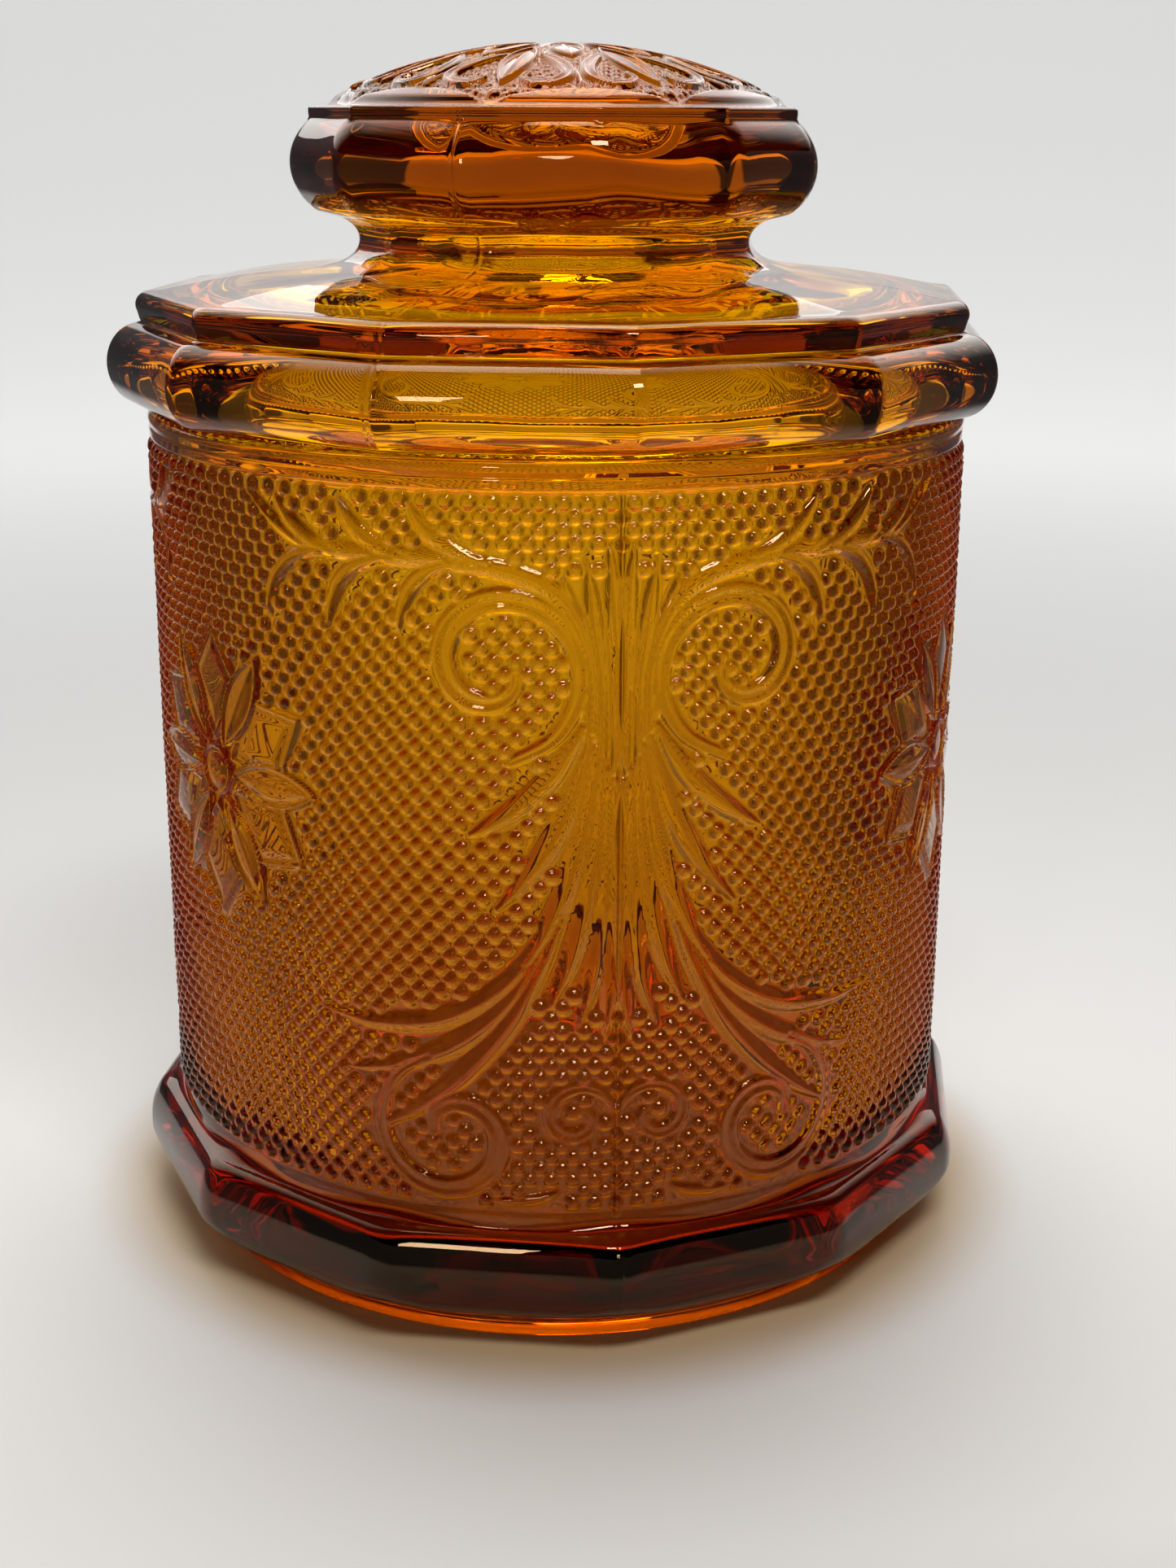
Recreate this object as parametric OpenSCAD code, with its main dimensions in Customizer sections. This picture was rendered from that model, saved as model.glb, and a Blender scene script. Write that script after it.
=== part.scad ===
// Pressed-glass storage jar with a lift-off lid.
// Origin: centre of the base, on the surface the jar stands on. +Z is up and -Y is the front,
// where a mould seam runs through the middle of one of the three moulded motifs.

/* [Jar] */
// Radius of the jar's plain outer wall, without the moulded relief
body_r = 70.4; // [68:0.2:72]
// Thickness of the side wall
wall = 4.8; // [3.5:0.1:6]
// Height of the rim's top face, where the lid rests
rim_z = 147; // [120:1:180]
// Height of the plain collar under the rim
collar_h = 5.2; // [4:0.2:9]
// How far the collar's two rings stand out of the wall
ring_out = 0.8; // [0.4:0.1:1.2]
// Height of the inside floor above the surface the jar stands on
floor_z = 11; // [9:0.5:16]
// Radius of the inside corner between floor and wall
floor_round = 12; // [6:1:16]

/* [Foot] */
// Number of flat panels round the foot, the lid and the knob
panels = 12; // [10:2:16]
// Distance from the axis to the middle of a foot panel
foot_a = 75; // [73:0.5:78]
// Height of the foot's ledge at its outer edge
foot_top = 21.6; // [18:0.2:26]
// Outer radius of the round base ring that the jar stands on
base_r = 67.5; // [62:0.5:69]
// Width of the base ring's flat face
base_w = 7; // [4:0.5:10]
// Height of the hollow under the base, inside the ring
base_up = 3; // [1:0.5:4]

/* [Lid] */
// Turn of the lid on the jar, in degrees, counter-clockwise from above
lid_turn = 1.2; // [-15:0.1:15]
// Distance from the axis to the middle of a rim panel, at its widest
lid_a = 74.9; // [73:0.1:78]
// Distance from the axis to the middle of a panel of the step above the rim
step_a = 69.9; // [68:0.1:71]
// Distance from the axis to a panel at the narrowest place of the neck
neck_a = 33.3; // [30:0.1:36]
// Distance from the axis to a knob panel, at its widest
knob_a = 44.2; // [42:0.1:47]
// Distance from the axis to a panel of the band round the knob's top
band_a = 40.8; // [39:0.1:42]
// Radius of the round dome on the knob
dome_r = 39.3; // [35:0.1:40]
// Height of the dome above the band
dome_h = 10.4; // [8:0.1:12]
// Radius of the hollow inside the knob's neck
hollow_r = 17.5; // [12:0.5:22]
// Wall thickness of the lid's shoulder
shoulder_t = 7; // [5:0.5:8]
// Outer radius of the ring under the lid that sits in the mouth
plug_r = 63.6; // [60:0.2:64]
// Wall thickness of that ring
plug_t = 6; // [5:0.5:8]
// Depth of that ring below the rim
plug_h = 6.4; // [4:0.2:10]

/* [Hidden] */
$fn = 96;
amber = [0.72, 0.38, 0.03];

inner_r = body_r - wall;              // inside radius of jar and mouth
wide_z = rim_z + 7.2;                 // widest height of the lid's rim
rim_round = 5.5;                      // how far the rim's panels curve in above and below that
step_z = rim_z + 14.8;                // bottom of the step above the rim
step_top = rim_z + 17.4;              // top of that step, before its rounded edge
neck_z = rim_z + 27.6;                // narrowest height of the neck
knob_z = rim_z + 40;                  // widest height of the knob
band_z = knob_z + 6.9;                // bottom of the knob's band
top_z = knob_z + 9.3;                 // flat top of the knob, round the dome
edge = 0.6;                           // small chamfer on the moulded edges
reach = 100;                          // longer than any panel is wide

// Points of an elliptical arc about [x, z], from angle a0 to a1, in n steps.
function arc(x, z, rx, rz, a0, a1, n) =
    [for (i = [0:n]) let (a = a0 + (a1 - a0) * i / n) [x + rx * cos(a), z + rz * sin(a)]];

// Half outline of the foot: apothem against height, from bottom to top.
function foot_outline() =
    let (low = 3.4, mid = 11.6, bulge = foot_a - base_r - 1.2, lip = 1.5)
    concat(
        [[base_r - 2, low]],
        arc(base_r + 1.2, mid, bulge, mid - low, -90, 0, 8),
        arc(foot_a - lip - 0.4, foot_top - lip - 0.4, lip, lip, 6, 74, 4),
        [[body_r, foot_top + 1.6]]);

// Half outline of the lid: apothem against height, from the rim to the knob's flat top.
function lid_outline() =
    concat(
        [[plug_r - 1, rim_z]],
        arc(lid_a - rim_round, wide_z, rim_round, wide_z - rim_z, -90, 0, 8),
        arc(lid_a - rim_round, wide_z, rim_round, 6.8, 10, 80, 6),
        [[step_a - 0.7, step_z]],
        arc(step_a - 2.6, step_top - 0.2, 2.6, 2.2, 0, 78, 5),
        arc(neck_a + 6.2, neck_z, 6.2, 4.2, 249, 115, 10),
        arc(knob_a - 10.2, knob_z, 10.2, 9.6, -53, 46, 12),
        [[band_a, band_z + 0.3], [band_a, top_z]]);

// A solid with flat panels all round: at every height, a regular polygon whose panels
// lie as far from the axis as the outline says. One corner points to -Y before the turn.
module panelled(outline, turn) {
    mirrored = [for (i = [len(outline) - 1:-1:0]) [-outline[i].x, outline[i].y]];
    intersection_for (k = [0:panels / 2 - 1])
        rotate([0, 0, turn + (k + 0.5) * 360 / panels])
            rotate([90, 0, 0])
                linear_extrude(height = 2 * reach, center = true)
                    polygon(concat(outline, mirrored));
}

// The jar's round inside, open at the mouth.
module jar_inside() {
    rotate_extrude()
        polygon(concat(
            [[0, rim_z + 1], [0, floor_z]],
            arc(inner_r - floor_round, floor_z + floor_round, floor_round, floor_round, -90, 0, 10),
            [[inner_r, rim_z + 1]]));
}

// Round outer wall with its collar: two rings with a groove between them.
module jar_wall() {
    collar_z = rim_z - collar_h;
    groove_z = collar_z + collar_h / 2;
    out_r = body_r + ring_out;
    lip = 1.2;
    rotate_extrude()
        polygon(concat(
            [[0, base_up + 3], [body_r, base_up + 3], [body_r, collar_z - edge], [out_r, collar_z],
             [out_r, groove_z - edge], [out_r - edge, groove_z], [out_r, groove_z + edge]],
            arc(out_r - lip, rim_z - lip, lip, lip, 0, 90, 4),
            [[0, rim_z]]));
}

// Round ring that the jar stands on, and the shallow hollow inside it.
module base_ring() {
    rotate_extrude()
        polygon([[0, base_up], [base_r - base_w - 1.5, base_up], [base_r - base_w, 0],
                 [base_r - edge, 0], [base_r, edge], [base_r, 8], [0, 8]]);
}

module jar() {
    color(amber)
        difference() {
            union() {
                jar_wall();
                panelled(foot_outline(), 0);
                base_ring();
            }
            jar_inside();
            base_hollow();
        }
}

// The hollow under the base again, where the foot's panels would fill it.
module base_hollow() {
    translate([0, 0, -1])
        cylinder(r = base_r - base_w - 1.5, h = base_up + 1);
}

// Dome on the knob: a slice of a sphere through the dome's edge and its top.
module dome() {
    ball_r = (dome_r * dome_r + dome_h * dome_h) / (2 * dome_h);
    edge_a = asin((ball_r - dome_h) / ball_r);
    rotate_extrude()
        polygon(concat(
            [[0, top_z - 1], [dome_r, top_z - 1]],
            arc(0, top_z + dome_h - ball_r, ball_r, ball_r, edge_a, 90, 12)));
}

// Hollow under the lid: wide below the shoulder, narrower up inside the neck and knob.
module lid_hollow() {
    wide_r = plug_r - plug_t;
    roof_z = step_top - shoulder_t + 2;
    cap_z = knob_z - 2;
    rotate_extrude()
        polygon(concat(
            [[0, rim_z - plug_h - 1], [wide_r, rim_z - plug_h - 1]],
            arc(wide_r - 5, roof_z - 5, 5, 5, 0, 84, 5),
            arc(hollow_r + 7, roof_z + 7.4, 7, 5.4, 262, 180, 6),
            arc(0, cap_z - 6, hollow_r, 6, 0, 90, 8)));
}

// Ring under the lid that reaches down into the mouth and keeps the lid in its place.
module plug() {
    low = rim_z - plug_h;
    rotate_extrude()
        polygon([[plug_r - plug_t - 2, low], [plug_r - edge, low], [plug_r, low + edge],
                 [plug_r, rim_z + 2], [plug_r - plug_t - 2, rim_z + 2]]);
}

module lid() {
    color(amber)
        difference() {
            union() {
                panelled(lid_outline(), lid_turn);
                dome();
                plug();
            }
            lid_hollow();
        }
}

jar();
lid();
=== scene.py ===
"""Amber pressed-glass jar with a lift-off lid: detailed meshes, glass, light and camera.

Lengths are in millimetres until mesh vertices are made, and angles round the jar are
measured from its front (-Y), counter-clockwise from above.
"""
import math

import bpy
import numpy as np
from mathutils import Matrix, Vector


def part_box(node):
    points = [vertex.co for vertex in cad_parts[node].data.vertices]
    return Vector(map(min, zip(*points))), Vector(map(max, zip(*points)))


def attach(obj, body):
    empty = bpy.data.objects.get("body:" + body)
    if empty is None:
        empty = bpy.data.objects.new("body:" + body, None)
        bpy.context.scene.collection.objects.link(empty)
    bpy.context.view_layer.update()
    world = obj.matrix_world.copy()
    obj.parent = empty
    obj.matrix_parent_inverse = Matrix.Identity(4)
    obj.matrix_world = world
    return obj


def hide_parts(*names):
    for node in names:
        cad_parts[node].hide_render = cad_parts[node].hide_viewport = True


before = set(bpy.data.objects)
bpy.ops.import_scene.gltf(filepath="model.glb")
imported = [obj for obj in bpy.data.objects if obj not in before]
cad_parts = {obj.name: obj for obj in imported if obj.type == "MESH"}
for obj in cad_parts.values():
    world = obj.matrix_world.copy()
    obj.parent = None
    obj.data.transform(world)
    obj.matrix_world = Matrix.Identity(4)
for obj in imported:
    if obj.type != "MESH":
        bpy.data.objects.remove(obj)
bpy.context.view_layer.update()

MM = 0.001
TURN = 2 * math.pi
PANELS = 12
PANEL = TURN / PANELS
SECTORS = 3                      # the moulded motif repeats this often round the jar

jar_high = np.array(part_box("jar")[1]) / MM
lid_low, lid_high = [np.array(corner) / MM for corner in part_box("lid")]

# Jar
RIM_Z = jar_high[2]
FOOT_A = jar_high[0] * math.cos(PANEL / 2)   # the foot's corners lie on the X and Y axes
BODY_R = 70.4                    # plain outer wall, under the relief
INNER_R = 65.6
FLOOR_Z = 11.0
FLOOR_ROUND = 12.0               # radius between floor and inner wall
COLLAR_Z = RIM_Z - 5.4           # bottom of the plain collar
BASE_R = 67.5                    # outside of the ring that the jar stands on
BASE_W = 7.0
BASE_UP = 3.0                    # height of the hollow inside that ring
FOOT_TOP = 21.6
FOOT_CORNER = 10                 # rounding of the foot's corners, seen from above
FOOT_ROUND = 12                  # radius of the foot's side, above its widest place
FOOT_EDGE = 3.2                  # radius of the foot's top edge
FOOT_INSET = 4.2                 # from the foot's side to the top of that edge
WALL_Z = 24.4                    # bottom of the beaded wall
SEAM_H = 0.7                     # mould seam on the beaded wall
FINE_SEAM_H = 0.19               # and on the plain glass

# Beads
BEADS_ROUND = 126                # in one row
BEAD_ROWS = 58
BEAD_TOP_Z = 140.4               # centre of the highest row
BEAD_STEP_Z = 2.0
BEAD_R = 1.34
BEAD_H = 1.0
CLEARANCE = 0.55                 # open ground that a bead's middle needs round it

# Lid
LID_TURN = math.radians(1.2)     # the lid's turn against the jar
LID_TOP = lid_high[2]
PLUG_R = 63.6
PLUG_T = 6.0
PLUG_LOW = lid_low[2]
RIM_A = 74.9                     # apothems of the twelve-sided rim, step, neck, knob and band
STEP_A = 69.9
NECK_A = 33.3
KNOB_A = 44.2
BAND_A = 40.8
KNOB_Z = RIM_Z + 40              # the knob's widest place
DOME_EDGE_Z = RIM_Z + 49.3
DOME_R = 39.3
HOLLOW_R = 17.5                  # the hollow in the neck

# Mesh detail
COLS_PER_BEAD = 10
ROWS_PER_BEAD = 6
SEAM_COLS = [0.1, 0.2, 0.3, 0.42, 0.55, 0.8]   # more columns this far from a mould seam
JAR_COLS = BEADS_ROUND * COLS_PER_BEAD + 2 * SECTORS * len(SEAM_COLS)
LID_COLS = BEADS_ROUND * COLS_PER_BEAD


# ---------------------------------------------------------------- outlines and lathes

def arc(x, z, rx, rz, a0, a1, n):
    """Points (x, z) of an elliptical arc from angle a0 to a1, in degrees."""
    a = np.radians(np.linspace(a0, a1, n + 1))
    return [(x + rx * math.cos(t), z + rz * math.sin(t)) for t in a]


def line(x0, z0, x1, z1, n):
    """Points (x, z) of a straight line in n steps."""
    return [(x0 + (x1 - x0) * i / n, z0 + (z1 - z0) * i / n) for i in range(n + 1)]


def smooth_step(value, low, high):
    """A soft ramp from 0 at low to 1 at high."""
    t = np.clip((value - low) / (high - low), 0, 1)
    return t * t * (3 - 2 * t)


def columns(count):
    return np.arange(count) * TURN / count


def panelled(phi, apothem, corner, turn=0.0):
    """Radius of a regular polygon with rounded corners. One corner points to the front before the turn."""
    alpha = np.abs((phi - turn) % PANEL - PANEL / 2)
    beta = PANEL / 2 - alpha
    centre = (apothem - corner) / math.cos(PANEL / 2)
    flat_to = math.atan((apothem - corner) * math.tan(PANEL / 2) / apothem)
    flat = apothem / np.cos(alpha)
    under = np.maximum(corner ** 2 - (centre * np.sin(beta)) ** 2, 0)
    return np.where(alpha < flat_to, flat, centre * np.cos(beta) + np.sqrt(under))


def waves(phi, z, size, seed):
    """A gentle unevenness of the glass, in millimetres, the same on every run."""
    rng = np.random.default_rng(seed)
    total = np.zeros(np.broadcast(phi, z).shape)
    for _ in range(9):
        around = rng.integers(2, 15)
        along = rng.uniform(0.05, 0.35)
        total = total + np.sin(around * phi + along * z + rng.uniform(0, TURN))
    return total * size / 3


def lathe(name, phi, rows, low_pole, high_pole):
    """A closed mesh: rows of (radius, height) over the columns phi, between two points on the axis."""
    count = len(phi)
    verts = [np.array([[0, 0, low_pole]])]
    for radius, height in rows:
        radius = np.broadcast_to(radius, phi.shape)
        height = np.broadcast_to(height, phi.shape)
        verts.append(np.stack([radius * np.sin(phi), -radius * np.cos(phi), height], axis=1))
    verts.append(np.array([[0, 0, high_pole]]))
    verts = np.concatenate(verts) * MM

    here = np.arange(count)
    after = (here + 1) % count
    first = 1 + np.arange(len(rows) - 1)[:, None] * count
    quads = np.stack([first + here, first + after, first + count + after, first + count + here], axis=2)
    last = 1 + (len(rows) - 1) * count
    low_fan = np.stack([np.zeros_like(here), 1 + after, 1 + here], axis=1)
    high_fan = np.stack([np.full_like(here, len(verts) - 1), last + here, last + after], axis=1)
    return fill_mesh(name, verts, [low_fan, quads.reshape(-1, 4), high_fan])


def fill_mesh(name, verts, groups):
    """A smooth-shaded mesh object from vertices and groups of faces with equally many corners."""
    corners = np.concatenate([g.ravel() for g in groups])
    sizes = np.concatenate([np.full(len(g), g.shape[1]) for g in groups])
    starts = np.concatenate([[0], np.cumsum(sizes)[:-1]])
    mesh = bpy.data.meshes.new(name)
    mesh.vertices.add(len(verts))
    mesh.vertices.foreach_set("co", verts.astype(np.float32).ravel())
    mesh.loops.add(len(corners))
    mesh.loops.foreach_set("vertex_index", corners.astype(np.int32))
    mesh.polygons.add(len(sizes))
    mesh.polygons.foreach_set("loop_start", starts.astype(np.int32))
    mesh.polygons.foreach_set("use_smooth", np.ones(len(sizes), dtype=bool))
    mesh.update(calc_edges=True)
    mesh.validate()
    obj = bpy.data.objects.new(name, mesh)
    bpy.context.scene.collection.objects.link(obj)
    return obj


# ---------------------------------------------------------------- moulded relief

def spline(points, per_span=9):
    """Points along a Catmull-Rom curve through (x, y, half width), every column smoothed alike."""
    p = np.array(points, float)
    p = np.concatenate([[2 * p[0] - p[1]], p, [2 * p[-1] - p[-2]]])
    t = np.linspace(0, 1, per_span, endpoint=False)[:, None]
    spans = []
    for a, b, c, d in zip(p[:-3], p[1:-2], p[2:-1], p[3:]):
        spans.append(0.5 * (2 * b + (c - a) * t + (2 * a - 5 * b + 4 * c - d) * t ** 2
                            + (3 * b - a - 3 * c + d) * t ** 3))
    curve = np.concatenate(spans + [p[-2:-1]])
    curve[:, 2] = np.maximum(curve[:, 2], 0.12)
    return curve


def across(x, y, curve):
    """How far each point lies from the curve: as a share of its half width, and in mm from its edge."""
    share = np.full(x.shape, 9.0)
    edge = np.full(x.shape, 9.0)
    reach = curve[:, 2].max() + 2
    near = ((x > curve[:, 0].min() - reach) & (x < curve[:, 0].max() + reach)
            & (y > curve[:, 1].min() - reach) & (y < curve[:, 1].max() + reach))
    px, py = x[near], y[near]
    best_share, best_edge = share[near], edge[near]
    for (ax, ay, half_a), (bx, by, half_b) in zip(curve[:-1], curve[1:]):
        dx, dy = bx - ax, by - ay
        t = np.clip(((px - ax) * dx + (py - ay) * dy) / max(dx * dx + dy * dy, 1e-9), 0, 1)
        d = np.hypot(px - ax - t * dx, py - ay - t * dy)
        half = half_a + t * (half_b - half_a)
        best_share = np.minimum(best_share, d / half)
        best_edge = np.minimum(best_edge, d - half)
    share[near], edge[near] = best_share, best_edge
    return share, edge


def leaf_section(u):
    """Crowned across, with a fine vein and steep sides."""
    return np.clip(1 - u ** 2, 0, 1) ** 0.75 * (1 + 0.12 * np.exp(-(u / 0.16) ** 2))


def ribbon_section(u):
    """A flat band with a shallow channel along its middle."""
    return np.clip(1 - u ** 5, 0, 1) ** 0.8 * (1 - 0.42 * np.exp(-(u / 0.42) ** 2))


SECTIONS = {"leaf": leaf_section, "ribbon": ribbon_section}
RELIEF = 1.2                     # height of the strokes' tallest ridges
GROOVE = 0.25                    # share of its height that a stroke keeps under another one's middle


def strokes_relief(x, y, strokes):
    """Height of mirrored strokes over the ground, and the distance to the nearest stroke's edge.

    A later stroke lies on the earlier ones and cuts into them, which leaves a groove along its sides.
    """
    height = np.zeros(x.shape)
    clear = np.full(x.shape, 9.0)
    for kind, top, points in strokes:
        curve = spline(points)
        sides = [x, -x] if (curve[:, 0] - curve[:, 2]).min() < 0 else [x]
        for side in sides:
            share, edge = across(side, y, curve)
            under = height * (GROOVE + (1 - GROOVE) * smooth_step(share, 0.45, 1.0))
            height = np.maximum(under, RELIEF * top * SECTIONS[kind](np.minimum(share, 1)))
            clear = np.minimum(clear, edge)
    return height, clear


# Share of a leaf's length, and its half width there as a share of its widest.
LEAF_WIDTHS = [(0, 0.35), (0.12, 0.65), (0.35, 0.95), (0.6, 1.0), (0.8, 0.8), (0.92, 0.45), (1, 0.12)]


def bowed_leaf(top, root, tip, bow, half):
    """A leaf from root to tip, bowed sideways by a share of its length."""
    dx, dy = tip[0] - root[0], tip[1] - root[1]
    points = []
    for share, width in LEAF_WIDTHS:
        aside = 4 * bow * share * (1 - share)
        points.append((root[0] + dx * share - dy * aside, root[1] + dy * share + dx * aside, half * width))
    return ("leaf", top, points)


def scroll(top, centre, radius, start, sweep, half):
    """A ribbon that winds in towards its centre, from the angle start on through sweep, in degrees."""
    points = []
    for share in np.linspace(0, 1, 15):
        a = math.radians(start + sweep * share)
        r = radius * (1 - 0.78 * share)
        width = half * (0.15 + 0.85 * math.sin(math.pi * (0.03 + 0.9 * share)) ** 0.6)
        points.append((centre[0] + r * math.cos(a), centre[1] + r * math.sin(a), width))
    return ("ribbon", top, points)


# The motif's right half, mirrored to the left. Places are (across, height) in mm, and top is the
# height of a stroke's ridge as a share of RELIEF.

def crown():
    """Upright leaves on the motif's middle line."""
    return [bowed_leaf(0.85, (1.0 + 1.7 * i, 99 + 2 * i), (1.9 + 3.4 * i, 134.5 - 2.5 * i), 0.02, 1.6)
            for i in range(3)]


def branch():
    """A stem that arches outwards, with leaves above and below it."""
    stem = [(4.4, 105, 1.4), (4.8, 116, 1.5), (10, 127, 1.8), (24, 131.5, 1.7), (44, 132, 1.5),
            (54, 134, 1.2), (62, 139.5, 0.2)]
    strokes = [("leaf", 0.80, stem)]
    for x in (20, 32, 44):
        strokes.append(bowed_leaf(0.72, (x, 131.5), (x + 12, 140), -0.14, 1.5))
        strokes.append(bowed_leaf(0.70, (x + 3, 131.5), (x + 14, 120.5), 0.22, 1.4))
    return strokes


def plume():
    """Hanging leaves, the outer ones shorter and more bowed, the inner ones on top."""
    strokes = []
    for i in reversed(range(6)):
        root = (0.8 + 0.95 * i, 98 + 1.7 * i)
        tip = (2.2 + 4.2 * i, 55 + 1.35 * i ** 2)
        strokes.append(bowed_leaf(0.75, root, tip, -0.03 - 0.012 * i, 2.0))
    return strokes


def roots():
    """Leaves that spread outwards from under the plume."""
    return [bowed_leaf(0.78, (7 + 1.2 * i, 82 - 4 * i), (50 - 5 * i, 57 - 10 * i), -0.22 + 0.06 * i, 1.9)
            for i in range(3)]


HIGH_SCROLL = [scroll(0.85, (19, 115.5), 15, -98, -430, 2.1)]
LOW_SCROLLS = [
    scroll(0.75, (26.5, 38), 14, 75, -430, 2.0),
    bowed_leaf(0.55, (20, 26.8), (9, 28.5), 0.08, 1.0),
    scroll(0.70, (6.4, 41.5), 6.2, 165, -400, 1.4),
]
MOTIF = crown() + branch() + HIGH_SCROLL + roots() + LOW_SCROLLS + plume()

FLOWER_Z = 91.8
PETALS = 6
PETAL_FROM = 4.6                 # distances from the flower's middle
PETAL_TO = 24.5
PETAL_HALF = 3.9                 # half a petal's width
POINT_TO = 25.5                  # reach of the pointed pieces
DISC_R = 4.9


def outlined(inside, top, rim):
    """Height of a moulded petal: a raised outline round a lower, slightly domed panel.

    inside is the distance in from the petal's edge, in mm, and rim the outline's width.
    """
    wall = smooth_step(inside, 0, 0.45)
    ridge = np.exp(-((inside - rim) / (0.5 * rim)) ** 2)
    panel = 0.45 + 0.25 * smooth_step(inside, rim * 1.6, rim * 4)
    return top * wall * np.maximum(ridge, panel)


def flower_relief(x, y):
    """Height of the flower and the pointed pieces behind it, and the distance in from its edge."""
    rho = np.hypot(x, y)
    theta = np.arctan2(y, x)
    height = np.zeros(x.shape)
    cover = np.full(x.shape, -9.0)
    for k in range(PETALS):                               # pointed pieces between the petals
        t = theta - (k + 0.5) * TURN / PETALS
        along, side = rho * np.cos(t), np.abs(rho * np.sin(t))
        inside = np.minimum((POINT_TO - along) * 0.62 - side * 0.80, (along - 4) * 0.45 - side * 0.6)
        height = np.maximum(height, outlined(inside, 0.85, 0.8) * (inside > 0))
        cover = np.maximum(cover, inside)
    for k in range(PETALS):
        t = theta - k * TURN / PETALS
        along, side = rho * np.cos(t), np.abs(rho * np.sin(t))
        share = np.clip((along - PETAL_FROM) / (PETAL_TO - PETAL_FROM), 0, 1)
        half = PETAL_HALF * np.sin(math.pi * share) ** 0.75
        inside = np.where((along > PETAL_FROM) & (along < PETAL_TO), half - side, -9)
        petal = outlined(inside, 1.0, 0.7) + 0.12 * np.exp(-(side / 0.35) ** 2) * (inside > 1.2)
        height = np.where(inside > 0, petal, height)
        cover = np.maximum(cover, inside)
    disc = DISC_R - rho
    height = np.where(disc > 0, outlined(disc, 1.05, 0.8), height)
    return height, np.maximum(cover, disc)


def bead(distance, radius, top):
    """Height of a round bead at a distance from its middle: a slice of a ball."""
    ball = (radius ** 2 + top ** 2) / (2 * top)
    return np.sqrt(np.maximum(ball ** 2 - np.minimum(distance, radius) ** 2, 0)) - (ball - top)


def lattice_beads(s, z, is_free):
    """Beads on a diagonal lattice over the grid of s (columns) by z (rows), where is_free allows one."""
    pitch = TURN * BODY_R / BEADS_ROUND
    height = np.zeros((len(z), len(s)))
    for row in range(BEAD_ROWS):
        zc = BEAD_TOP_Z - row * BEAD_STEP_Z
        offset = 0.5 if row % 2 == 0 else 0.0
        centres = (np.arange(-1, s[-1] / pitch + 2) + offset) * pitch
        free = is_free(centres, np.full(centres.shape, zc))
        rows = np.flatnonzero(np.abs(z - zc) < BEAD_R)
        for sc in centres[free]:
            cols = np.flatnonzero(np.abs(s - sc) < BEAD_R)
            if len(rows) == 0 or len(cols) == 0:
                continue
            d = np.hypot(s[cols][None, :] - sc, z[rows][:, None] - zc)
            block = np.ix_(rows, cols)
            height[block] = np.maximum(height[block], bead(d, BEAD_R, BEAD_H))
    return height


def half_sector():
    """Angles of the columns from a mould seam to the middle of the next flower."""
    round_cols = BEADS_ROUND * COLS_PER_BEAD
    even = np.arange(round_cols // (2 * SECTORS) + 1) * TURN / round_cols
    return np.sort(np.append(even, np.array(SEAM_COLS) / BODY_R))


def jar_columns():
    """Angles of all columns round the jar, closer together at the mould seams."""
    half = half_sector()
    sector = np.append(half[:-1], TURN / SECTORS - half[:0:-1])
    return np.concatenate([sector + TURN / SECTORS * number for number in range(SECTORS)])


def body_relief(z):
    """Relief of the jar's wall for each height in z (rows) and each column round the jar."""
    half = JAR_COLS // (2 * SECTORS)
    s = half_sector() * BODY_R
    flower_s = s[-1]

    def is_free(sc, zc):
        inside = np.clip(np.abs(sc), 0, 2 * flower_s - np.abs(sc))
        _, clear = strokes_relief(inside, zc, MOTIF)
        _, cover = flower_relief(inside - flower_s, zc - FLOWER_Z)
        return (clear > CLEARANCE) & (cover < -0.45)

    grid_s, grid_z = np.meshgrid(s, z)
    strokes, _ = strokes_relief(grid_s, grid_z, MOTIF)
    flower, cover = flower_relief(grid_s - flower_s, grid_z - FLOWER_Z)
    relief = np.maximum(lattice_beads(s, z, is_free), strokes)
    relief = np.where(cover > 0, flower, relief)
    seam = SEAM_H * np.exp(-(s / 0.42) ** 2)
    relief = np.maximum(relief, 0) + seam[None, :]
    fold = np.arange(JAR_COLS) % (2 * half)
    fold = np.minimum(fold, 2 * half - fold)
    return relief[:, fold]


# ---------------------------------------------------------------- the jar

def foot_rows(phi, seam):
    """From the middle of the underside over the base ring and the foot to the beaded wall."""
    hollow_r = BASE_R - BASE_W - 1.5
    rows = line(6, BASE_UP, hollow_r, BASE_UP, 4)
    rows += arc(hollow_r + 1.5, 1.2, 1.4, 1.2, 150, 270, 5)
    rows += arc(BASE_R - 0.6, 0.6, 0.6, 0.6, -90, 0, 4)
    rows += [(BASE_R + 0.1, 2.2), (BASE_R + 0.2, 4.3)]

    low, mid, turn = 5.4, 12.6, FOOT_TOP - 7.9
    bulge = FOOT_A - BASE_R - 1.7
    foot = [(BASE_R + 0.7, 5.1)]
    foot += arc(BASE_R + 1.7, mid, bulge, mid - low, -84, 0, 14)
    foot += arc(FOOT_A - FOOT_ROUND, turn, FOOT_ROUND, FOOT_ROUND, 0, 30, 12)
    foot += arc(FOOT_A - 4.38, turn + 4.4, FOOT_EDGE, FOOT_EDGE, 38, 80, 7)
    for a, z in foot:
        corner = FOOT_CORNER + (a * 0.9 - FOOT_CORNER) * smooth_step(z, 13, 4) ** 1.6
        rows.append((panelled(phi, a, corner) + seam, z + waves(phi, a, size=0.05, seed=3)))

    edge = panelled(phi, FOOT_A - FOOT_INSET, FOOT_CORNER)
    for share, z in [(0.2, 21.5), (0.5, 21.9), (0.8, 22.5), (0.95, 23.2), (1.0, 24.0)]:
        rows.append((edge + (BODY_R + 0.15 - edge) * share + seam, z))
    return rows


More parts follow.
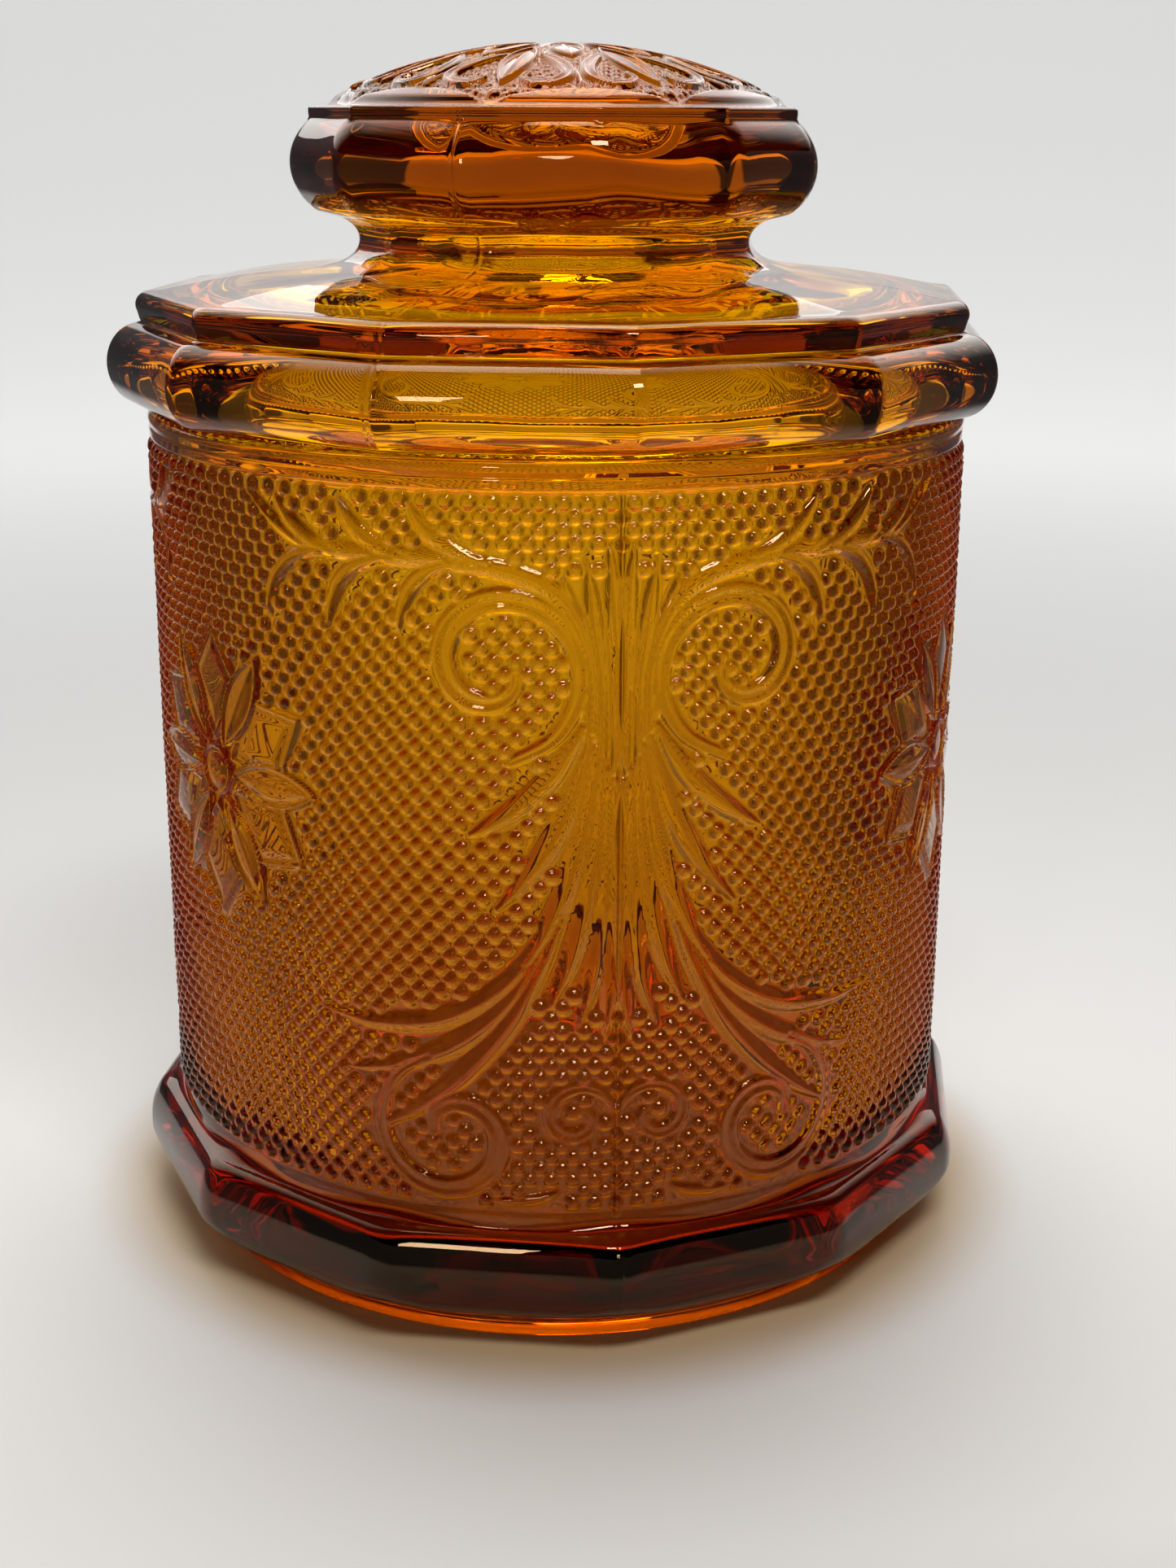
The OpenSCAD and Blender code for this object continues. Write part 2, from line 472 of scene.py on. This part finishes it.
def wall_rows(phi):
    """The beaded wall."""
    heights = np.arange(WALL_Z, COLLAR_Z + 0.01, BEAD_STEP_Z / ROWS_PER_BEAD)
    return [(BODY_R + relief + waves(phi, z, size=0.03, seed=5), z)
            for z, relief in zip(heights, body_relief(heights))]


def collar_rows(phi, seam):
    """The collar: a cove, a lower ring, a fine step and the rolled rim."""
    out = BODY_R + 0.8
    collar = [(BODY_R + 0.1, COLLAR_Z + 0.25), (BODY_R + 0.35, COLLAR_Z + 0.55)]
    collar += [(out - 0.25, COLLAR_Z + 0.8)]
    collar += line(out - 0.2, COLLAR_Z + 1.1, out - 0.2, COLLAR_Z + 2.4, 3)
    collar += [(out - 0.35, COLLAR_Z + 2.55), (out - 0.3, COLLAR_Z + 2.7)]
    collar += arc(out - 1.5, RIM_Z - 1.55, 1.5, 1.45, -20, 90, 12)
    return [(r + waves(phi, z, size=0.03, seed=7) + seam * (z < COLLAR_Z + 2.6), z) for r, z in collar]


def inside_rows(phi):
    """The mouth, the inner wall and the floor."""
    lip = arc(INNER_R + 1, RIM_Z - 1.1, 1, 1, 90, 180, 5)
    wall = line(INNER_R, RIM_Z - 2, INNER_R, FLOOR_Z + FLOOR_ROUND + 1, 40)
    corner = arc(INNER_R - FLOOR_ROUND, FLOOR_Z + FLOOR_ROUND, FLOOR_ROUND, FLOOR_ROUND, 0, -90, 14)
    floor = line(INNER_R - FLOOR_ROUND - 2, FLOOR_Z, 5, FLOOR_Z, 10)
    rows = []
    for r, z in lip + wall:
        fade = min((RIM_Z - z) / 8, 1)
        rows.append((r + fade * waves(phi, z, size=0.16, seed=11), z))
    for r, z in corner + floor:
        fade = min(r / 40, 1) * (r < INNER_R - 3)
        rows.append((r, z + fade * waves(phi, r, size=0.1, seed=13)))
    return rows


def jar_rows():
    """The jar's outline from the middle of its underside, outside and in, to the middle of its floor."""
    phi = jar_columns()
    sector = TURN / SECTORS
    seam_at = np.abs((phi + sector / 2) % sector - sector / 2) * BODY_R
    seam = FINE_SEAM_H * np.exp(-(seam_at / 0.40) ** 2)
    return foot_rows(phi, seam) + wall_rows(phi) + collar_rows(phi, seam) + inside_rows(phi)


def make_jar():
    jar = lathe("jar_glass", jar_columns(), jar_rows(), BASE_UP, FLOOR_Z)
    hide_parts("jar")
    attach(jar, "jar")
    return jar


# ---------------------------------------------------------------- the lid

DOME_PARTS = 8                   # scallops round the knob's top
DOME_TURN = math.radians(20)     # where the first cusp between two scallops stands
PLAIN_R = 38.6                   # the border's inner edge at a cusp
SCALLOP = 4.2                    # how far the border reaches in between cusps
STIPPLE_STEP = 1.9               # from one fine bead to the next
STIPPLE_R = 0.85
DOME_RELIEF = 0.9                # height of the boss in the middle

# Strokes of half a scallop's share: (across from the cusp's line, out from the middle, half width).
DOME_STROKES = [
    ("ribbon", 0.9, [(3.2, 19.5, 0.5), (5.6, 21.5, 1.1), (8.2, 24.6, 1.4), (9.6, 28.2, 1.3),
                     (8.4, 31.2, 1.1), (5.6, 32.4, 0.9), (3.4, 31.2, 0.7), (3.6, 29.2, 0.6)]),
    ("leaf", 0.9, [(9.2, 20.5, 0.4), (11.2, 24, 1.3), (12.6, 28.5, 1.4), (12.8, 32.4, 0.5)]),
]


def long_leaf(along, side, start, end, half_width, top=1.0, rim=0.7):
    """Height of a pointed, outlined leaf that lies along one direction."""
    share = np.clip((along - start) / (end - start), 0, 1)
    inside = half_width * np.sin(math.pi * share) ** 0.75 - side
    inside = np.where((along > start) & (along < end), inside, -9)
    vein = 0.12 * np.exp(-(side / 0.3) ** 2) * (inside > 2 * rim)
    return np.where(inside > 0, outlined(inside, top, rim) + vein, 0), inside


def dome_relief(rho, theta):
    """Relief of the knob's domed top: rosette, scrolls, fine beads and a plain scalloped border."""
    part = TURN / DOME_PARTS
    at = theta - DOME_TURN
    fold = np.abs((at + part / 2) % part - part / 2)       # 0 at a cusp
    x, y = rho * np.cos(fold), rho * np.sin(fold)
    mid = part / 2 - fold                                  # 0 half way between cusps
    strokes, clear = strokes_relief(y, x, DOME_STROKES)
    petal, in_petal = long_leaf(rho * np.cos(mid), rho * np.sin(mid), start=4.5, end=20, half_width=3.5)
    leaf, in_leaf = long_leaf(x, y, start=13, end=33.5, half_width=3.0)
    pip = bead(np.hypot(x - 36.1, y), 1.4, 0.9)
    pip = np.maximum(pip, bead(np.hypot(x - 35.4, y - 2.9), 1.1, 0.7))
    boss = bead(rho, 4.2, DOME_RELIEF)

    row_step = STIPPLE_STEP * 0.866
    row = np.round(x / row_step)
    shift = (row % 2) * STIPPLE_STEP / 2
    bx, by = row * row_step, np.round((y - shift) / STIPPLE_STEP) * STIPPLE_STEP + shift
    border_r = PLAIN_R - SCALLOP * np.abs(np.sin(DOME_PARTS * at / 2)) ** 0.8
    open_ground = (clear > 0.3) & (in_petal < -0.3) & (in_leaf < -0.3)
    open_ground = open_ground & (rho > 5.5) & (rho < border_r - 0.6)
    beads = bead(np.hypot(x - bx, y - by), STIPPLE_R, 0.5) * open_ground
    border = 0.75 * smooth_step(rho - border_r, 0, 0.6) * (1 - smooth_step(rho, 37.4, 38.7))
    shapes = np.where(in_petal > 0, petal, np.where(in_leaf > 0, leaf, strokes))
    return np.maximum.reduce([shapes, beads, border, pip * (rho < 38), boss])


def faceted(phi, outline, corner, wave=0.04, seam_top=0.30):
    """Rows of a twelve-sided stretch of the lid, with its three mould seams."""
    local = phi - LID_TURN
    seam_at = (local + PANEL + TURN / 6) % (TURN / SECTORS) - TURN / 6
    rows = []
    for a, z in outline:
        off = seam_at * a
        step = seam_top * np.where(off > 0, np.exp(-off / 2.5), 0)
        line_in = 0.6 * seam_top * np.exp(-(off / 0.35) ** 2)
        radius = panelled(phi, a, min(corner, a * 0.9), LID_TURN)
        rows.append((radius + step - line_in + waves(phi, z, size=wave, seed=17), z))
    return rows


def hollow_rows(phi, wide_r, cap_z):
    """The hollow under the lid, from its cap in the knob's neck down to the plug."""
    roof_z = RIM_Z + 12.4
    hollow = arc(0, cap_z - 6, HOLLOW_R, 6, 80, 0, 8)
    hollow += line(HOLLOW_R, cap_z - 9, HOLLOW_R, roof_z + 9, 6)
    hollow += arc(HOLLOW_R + 7, roof_z + 7.4, 7, 5.4, 180, 262, 9)
    hollow += line(HOLLOW_R + 12, roof_z + 1.6, wide_r - 8, roof_z + 0.3, 10)
    hollow += arc(wide_r - 5, roof_z - 5, 5, 5, 84, 0, 8)
    hollow += line(wide_r, roof_z - 7, wide_r, PLUG_LOW + 1.5, 5)
    rows = []
    for r, z in hollow:
        fade = smooth_step(r, 12, 30)
        radius = r + waves(phi, z, size=0.16, seed=19)
        rows.append((radius, z + fade * waves(phi, r, size=0.14, seed=23)))
    return rows


def plug_rows(phi, wide_r):
    """The plug, and the ledge that rests on the jar's rim, with fine notches near its edge."""
    rows = arc(wide_r + 1, PLUG_LOW + 1, 1, 1, 180, 270, 4)
    rows += arc(PLUG_R - 1, PLUG_LOW + 1, 1, 1, -90, 0, 4)
    rows += line(PLUG_R, PLUG_LOW + 2, PLUG_R, RIM_Z - 0.7, 3)
    rows += [(PLUG_R + 0.5, RIM_Z)]
    notch = 0.5 + 0.5 * np.cos(BEADS_ROUND * phi)
    for r, depth in [(66.0, 0), (67.2, 0), (67.5, 0.45), (68.6, 0.5), (69.8, 0.5)]:
        rows.append((r, RIM_Z + depth * notch))
    return rows


def shoulder_rows(phi):
    """The rim, the step, the shoulder and the neck."""
    wide_z = RIM_Z + 7.2
    rim_round = 5.5
    rim = arc(RIM_A - rim_round, wide_z, rim_round, wide_z - RIM_Z - 0.35, -82, 0, 16)
    rim += arc(RIM_A - rim_round, wide_z, rim_round, 6.8, 6, 82, 14)
    rim += [(STEP_A - 0.8, RIM_Z + 14.3)]
    step = [(STEP_A - 0.55, RIM_Z + 14.8)]
    step += arc(STEP_A - 2.4, RIM_Z + 17.0, 2.4, 2.3, -25, 86, 12)
    steps = 22
    slope = line(STEP_A - 4, RIM_Z + 19.35, NECK_A + 6.5, RIM_Z + 23.1, steps)
    crowned = [(a, z + 0.5 * math.sin(math.pi * i / steps)) for i, (a, z) in enumerate(slope)]
    neck = arc(NECK_A + 6.2, RIM_Z + 27.6, 6.2, 4.2, 249, 115, 20)
    return (faceted(phi, rim, corner=4.0) + faceted(phi, step, corner=4.5)
            + faceted(phi, crowned, corner=5.0, wave=0.10) + faceted(phi, neck, corner=9.0))


def knob_rows(phi):
    """The knob, the band at its top and the dome."""
    knob = arc(KNOB_A - 10.2, KNOB_Z, 10.2, 9.6, -53, 46, 28)
    band = [(BAND_A + 0.1, KNOB_Z + 7.1), (BAND_A - 0.1, KNOB_Z + 7.5), (BAND_A, KNOB_Z + 8.2),
            (BAND_A, DOME_EDGE_Z - 0.5), (BAND_A - 0.25, DOME_EDGE_Z - 0.1), (BAND_A - 0.6, DOME_EDGE_Z)]
    rows = faceted(phi, knob, corner=9.0, wave=0.14) + faceted(phi, band, corner=2.0)
    rows.append((DOME_R, DOME_EDGE_Z))
    dome_h = LID_TOP - DOME_RELIEF - DOME_EDGE_Z
    ball = (DOME_R ** 2 + dome_h ** 2) / (2 * dome_h)
    for rho in np.arange(DOME_R - 0.4, 0.4, -0.33):
        z = DOME_EDGE_Z + dome_h - ball + math.sqrt(ball ** 2 - rho ** 2)
        rows.append((rho, z + dome_relief(np.full(phi.shape, rho), phi - LID_TURN)))
    return rows


def make_lid():
    phi = columns(LID_COLS)
    wide_r = PLUG_R - PLUG_T
    cap_z = KNOB_Z - 2
    rows = hollow_rows(phi, wide_r, cap_z) + plug_rows(phi, wide_r) + shoulder_rows(phi) + knob_rows(phi)
    lid = lathe("lid_glass", phi, rows, cap_z, LID_TOP)
    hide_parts("lid")
    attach(lid, "lid")
    return lid


# ---------------------------------------------------------------- materials

def new_material(name):
    mat = bpy.data.materials.new(name)
    mat.use_nodes = True
    mat.node_tree.nodes.clear()
    return mat, mat.node_tree.nodes, mat.node_tree.links


def amber_glass(name, high_tint, low_tint, absorbs, wave_scale, wave_strength):
    """Pressed amber glass with slight unevenness and a hint of wear.

    The tint deepens towards the foot: painted shade, standing in for the shade seen through
    the lower wall. absorbs says how fast the glass swallows red, green and blue, per metre.
    """
    red, green, blue = absorbs
    mat, nodes, links = new_material(name)
    out = nodes.new("ShaderNodeOutputMaterial")
    shader = nodes.new("ShaderNodeBsdfPrincipled")
    shader.inputs["Specular Tint"].default_value = (1.0, 0.68, 0.42, 1)
    shader.inputs["Transmission Weight"].default_value = 1
    shader.inputs["IOR"].default_value = 1.51
    coords = nodes.new("ShaderNodeTexCoord")
    parts = nodes.new("ShaderNodeSeparateXYZ")
    links.new(coords.outputs["Object"], parts.inputs["Vector"])
    # Painted shade: the base colour turns darker and redder towards the foot.
    depth = map_range(nodes, links, parts.outputs["Z"], 0.115, 0.03)
    tint = mixed(nodes, links, depth, (*high_tint, 1), (*low_tint, 1))
    links.new(tint, shader.inputs["Base Color"])

    wear = noise(nodes, links, coords, scale=90, detail=4)
    rough = nodes.new("ShaderNodeMapRange")
    rough.inputs["From Min"].default_value = 0.35
    rough.inputs["From Max"].default_value = 0.8
    rough.inputs["To Min"].default_value = 0.0
    rough.inputs["To Max"].default_value = 0.03
    links.new(wear, rough.inputs["Value"])
    links.new(rough.outputs["Result"], shader.inputs["Roughness"])

    bump = nodes.new("ShaderNodeBump")
    bump.inputs["Strength"].default_value = wave_strength
    bump.inputs["Distance"].default_value = 0.4 * MM
    links.new(noise(nodes, links, coords, scale=wave_scale, detail=2), bump.inputs["Height"])
    links.new(bump.outputs["Normal"], shader.inputs["Normal"])
    links.new(shader.outputs["BSDF"], out.inputs["Surface"])

    volume = nodes.new("ShaderNodeVolumeAbsorption")
    volume.inputs["Color"].default_value = (1 - red / blue, 1 - green / blue, 0, 1)
    volume.inputs["Density"].default_value = blue
    links.new(volume.outputs["Volume"], out.inputs["Volume"])
    return mat


def noise(nodes, links, coords, scale, detail):
    """Noise fixed to the object."""
    texture = nodes.new("ShaderNodeTexNoise")
    texture.inputs["Scale"].default_value = scale
    texture.inputs["Detail"].default_value = detail
    links.new(coords.outputs["Object"], texture.inputs["Vector"])
    return texture.outputs["Fac"]


def map_range(nodes, links, value, low, high, to_low=0.0, to_high=1.0):
    """A smooth ramp between two values, clamped at both ends."""
    ramp = nodes.new("ShaderNodeMapRange")
    ramp.interpolation_type = "SMOOTHSTEP"
    ramp.inputs["From Min"].default_value = low
    ramp.inputs["From Max"].default_value = high
    ramp.inputs["To Min"].default_value = to_low
    ramp.inputs["To Max"].default_value = to_high
    links.new(value, ramp.inputs["Value"])
    return ramp.outputs["Result"]


def maths(nodes, links, operation, *values):
    """One step of arithmetic on numbers or sockets."""
    node = nodes.new("ShaderNodeMath")
    node.operation = operation
    for socket, value in zip(node.inputs, values):
        if isinstance(value, bpy.types.NodeSocket):
            links.new(value, socket)
        else:
            socket.default_value = value
    return node.outputs["Value"]


def mixed(nodes, links, share, first, second):
    """A colour between two others."""
    mix = nodes.new("ShaderNodeMix")
    mix.data_type = "RGBA"
    links.new(share, mix.inputs[0])
    for socket, value in zip((mix.inputs[6], mix.inputs[7]), (first, second)):
        if isinstance(value, bpy.types.NodeSocket):
            links.new(value, socket)
        else:
            socket.default_value = value
    return mix.outputs[2]


# Stage: where each change of the paper starts and ends, in metres
PAINTED_SHADE_FRONT = (-0.125, -0.21)     # along Y
PAINTED_SHADE_RIGHT = (0.16, 0.26)        # along X, level with the jar's axis
PAINTED_SHADE_LEFT = (0.16, 0.26)         # the same to the left
RIGHT_SPREAD = 0.45              # how fast the dark parts start further out towards the back
LEFT_SPREAD = 0.13
FADE = (0.10, 0.85)              # from the frame's origin, like the next two
PAINTED_SHADOW_GLOW_RING = (0.092, 0.070)
FLOOR_GLOW = (0.26, 1.15)
WALL_GLOW = (0.32, 0.60)         # heights


def stage_paper(name, pale, far, painted_shadow_glow, dark):
    """Matt paper, pale under and behind the jar, and dark to both sides and in front of it: that dark is
    painted shade, standing in for an unlit room round the stage.

    Round the jar's base it has a painted shadow with an amber glow, standing in for the foot's shade and
    for light let through the glass.
    It glows far out and high up: painted light, an emission that stands in for lamp light on the paper.
    """
    mat, nodes, links = new_material(name)
    out = nodes.new("ShaderNodeOutputMaterial")
    shader = nodes.new("ShaderNodeBsdfPrincipled")
    shader.inputs["Roughness"].default_value = 0.9
    coords = nodes.new("ShaderNodeTexCoord")
    parts = nodes.new("ShaderNodeSeparateXYZ")
    links.new(coords.outputs["Object"], parts.inputs["Vector"])
    x, y, z = [parts.outputs[axis] for axis in "XYZ"]
    # Painted shade: dark paper in front and to both sides, standing in for an unlit room.
    away = map_range(nodes, links, y, *PAINTED_SHADE_FRONT)
    for side, spread, reach in ((1, RIGHT_SPREAD, PAINTED_SHADE_RIGHT), (-1, LEFT_SPREAD, PAINTED_SHADE_LEFT)):
        out_by = maths(nodes, links, "MULTIPLY_ADD", y, -spread, maths(nodes, links, "MULTIPLY", x, side))
        away = maths(nodes, links, "MAXIMUM", away, map_range(nodes, links, out_by, *reach))
    length = nodes.new("ShaderNodeVectorMath")
    length.operation = "LENGTH"
    links.new(coords.outputs["Object"], length.inputs[0])
    off = map_range(nodes, links, length.outputs["Value"], *FADE)
    # Painted shadow with an amber glow round the jar's base, standing in for the foot's shade and for
    # light through the glass.
    near = map_range(nodes, links, length.outputs["Value"], *PAINTED_SHADOW_GLOW_RING, 0, 0.85)
    colour = mixed(nodes, links, off, (*pale, 1), (*far, 1))
    colour = mixed(nodes, links, near, colour, (*painted_shadow_glow, 1))
    colour = mixed(nodes, links, away, colour, (*dark, 1))
    links.new(colour, shader.inputs["Base Color"])
    links.new(colour, shader.inputs["Emission Color"])
    # Painted light: the paper glows far out on the floor and high up the wall, an emission that stands in
    # for lamp light.
    low_glow = map_range(nodes, links, length.outputs["Value"], *FLOOR_GLOW, 0, 0.8)
    high_glow = map_range(nodes, links, z, *WALL_GLOW, 0, 0.8)
    links.new(maths(nodes, links, "ADD", low_glow, high_glow), shader.inputs["Emission Strength"])
    links.new(shader.outputs["BSDF"], out.inputs["Surface"])
    return mat


# ---------------------------------------------------------------- stage, light and camera

def make_stage():
    """A pale floor that curves up into a wall all round, out of every camera's way."""
    flat_r, curve_r, wall_z = 1000, 540, 600
    outline = line(2, 0, flat_r, 0, 12) + arc(flat_r, curve_r, curve_r, curve_r, -90, 0, 16)[1:]
    outline.append((flat_r + curve_r, wall_z))
    count = 96
    phi = columns(count)
    drop = 0.05                  # keeps the paper clear of the jar's underside
    rings = [np.stack([r * np.sin(phi), -r * np.cos(phi), np.full(count, z - drop)], axis=1)
             for r, z in outline]
    verts = np.concatenate(rings) * MM
    here = np.arange(count)
    after = (here + 1) % count
    first = np.arange(len(outline) - 1)[:, None] * count
    quads = np.stack([first + here, first + after, first + count + after, first + count + here], axis=2)
    centre = here[None, ::-1]
    stage = fill_mesh("floor", verts, [quads.reshape(-1, 4), centre])
    # The amber brown paper colour is a painted shadow and glow round the jar's base.
    # The near-black paper colour is painted shade.
    paper = stage_paper("pale_paper", pale=(0.69, 0.675, 0.655), far=(0.60, 0.60, 0.595),
                        painted_shadow_glow=(0.43, 0.28, 0.10), dark=(0.07, 0.07, 0.075))
    stage.data.materials.append(paper)


def area_light(name, azimuth, elevation, distance, width, height, power, colour=(1, 1, 1)):
    """A rectangular lamp that faces the jar's middle, from an azimuth counted like phi."""
    data = bpy.data.lights.new(name, "AREA")
    data.shape = "RECTANGLE"
    data.size, data.size_y = width, height
    data.energy = power
    data.color = colour
    lamp = bpy.data.objects.new(name, data)
    az, el = math.radians(azimuth), math.radians(elevation)
    away = Vector((math.sin(az) * math.cos(el), -math.cos(az) * math.cos(el), math.sin(el)))
    lamp.location = Vector((0, 0, 0.1)) + away * distance
    lamp.rotation_mode = "QUATERNION"
    lamp.rotation_quaternion = away.to_track_quat("Z", "Y")
    bpy.context.scene.collection.objects.link(lamp)
    return lamp


def make_world(front, back):
    """A pale surround behind and over the jar that falls away to dark on the camera's side."""
    world = bpy.data.worlds.new("studio")
    world.use_nodes = True
    bpy.context.scene.world = world
    nodes, links = world.node_tree.nodes, world.node_tree.links
    background = nodes["Background"]
    background.inputs["Color"].default_value = (0.99, 1.0, 0.99, 1)
    coords = nodes.new("ShaderNodeTexCoord")
    toward = nodes.new("ShaderNodeVectorMath")
    toward.operation = "DOT_PRODUCT"
    toward.inputs[1].default_value = (0, 0.88, 0.47)
    fade = nodes.new("ShaderNodeMapRange")
    fade.interpolation_type = "SMOOTHSTEP"
    fade.inputs["From Min"].default_value = 0.45
    fade.inputs["From Max"].default_value = 0.90
    fade.inputs["To Min"].default_value = front
    fade.inputs["To Max"].default_value = back
    links.new(coords.outputs["Generated"], toward.inputs[0])
    links.new(toward.outputs["Value"], fade.inputs["Value"])
    links.new(fade.outputs["Result"], background.inputs["Strength"])


CAMERA_TURN = math.radians(-8.75)      # the camera stands this far round from the front seam
CAMERA_PITCH = math.radians(17.08)
CAMERA_ROLL = 0.00555
CAMERA_PLACE = (0.00585, -0.3889, 0.1953)   # before that turn
CAMERA_LENS = 50.14


def make_camera():
    data = bpy.data.cameras.new("camera")
    data.sensor_width = 36
    data.lens = CAMERA_LENS
    data.clip_start = 0.01
    camera = bpy.data.objects.new("camera", data)
    turn = Matrix.Rotation(CAMERA_TURN, 4, "Z")
    tilt = Matrix.Rotation(math.pi / 2 - CAMERA_PITCH, 4, "X")
    roll = Matrix.Rotation(CAMERA_ROLL, 4, "Z")
    camera.location = turn @ Vector(CAMERA_PLACE)
    camera.rotation_mode = "QUATERNION"
    camera.rotation_quaternion = (turn @ tilt @ roll).to_quaternion()
    bpy.context.scene.collection.objects.link(camera)
    bpy.context.scene.camera = camera


def make_light():
    make_world(front=0.01, back=2.4)
    area_light("softbox", azimuth=180, elevation=80, distance=1.6, width=0.7, height=0.7, power=6)
    area_light("window", azimuth=6, elevation=54, distance=0.9, width=0.4, height=0.14, power=4.6)
    area_light("strip", azimuth=-24.3, elevation=20, distance=0.9, width=0.062, height=0.13, power=0.5,
               colour=(1, 0.93, 0.80))


def set_light_paths():
    scene = bpy.context.scene
    scene.view_settings.view_transform = "Standard"
    scene.cycles.max_bounces = 24
    scene.cycles.transmission_bounces = 24
    scene.cycles.glossy_bounces = 8
    scene.cycles.diffuse_bounces = 4
    scene.cycles.sample_clamp_indirect = 8
    scene.cycles.caustics_refractive = True
    scene.cycles.caustics_reflective = True


make_camera()
make_stage()
make_light()
set_light_paths()
jar = make_jar()
lid = make_lid()
# The jar's lower tint is painted shade towards its foot.
jar.data.materials.append(amber_glass(
    "amber_jar_glass", high_tint=(1.0, 0.88, 0.38), low_tint=(0.88, 0.64, 0.32), absorbs=(25, 84, 600),
    wave_scale=60, wave_strength=0.12))
lid.data.materials.append(amber_glass(
    "amber_lid_glass", high_tint=(1, 0.84, 0.42), low_tint=(1, 0.84, 0.42), absorbs=(12, 31, 240),
    wave_scale=45, wave_strength=0.5))
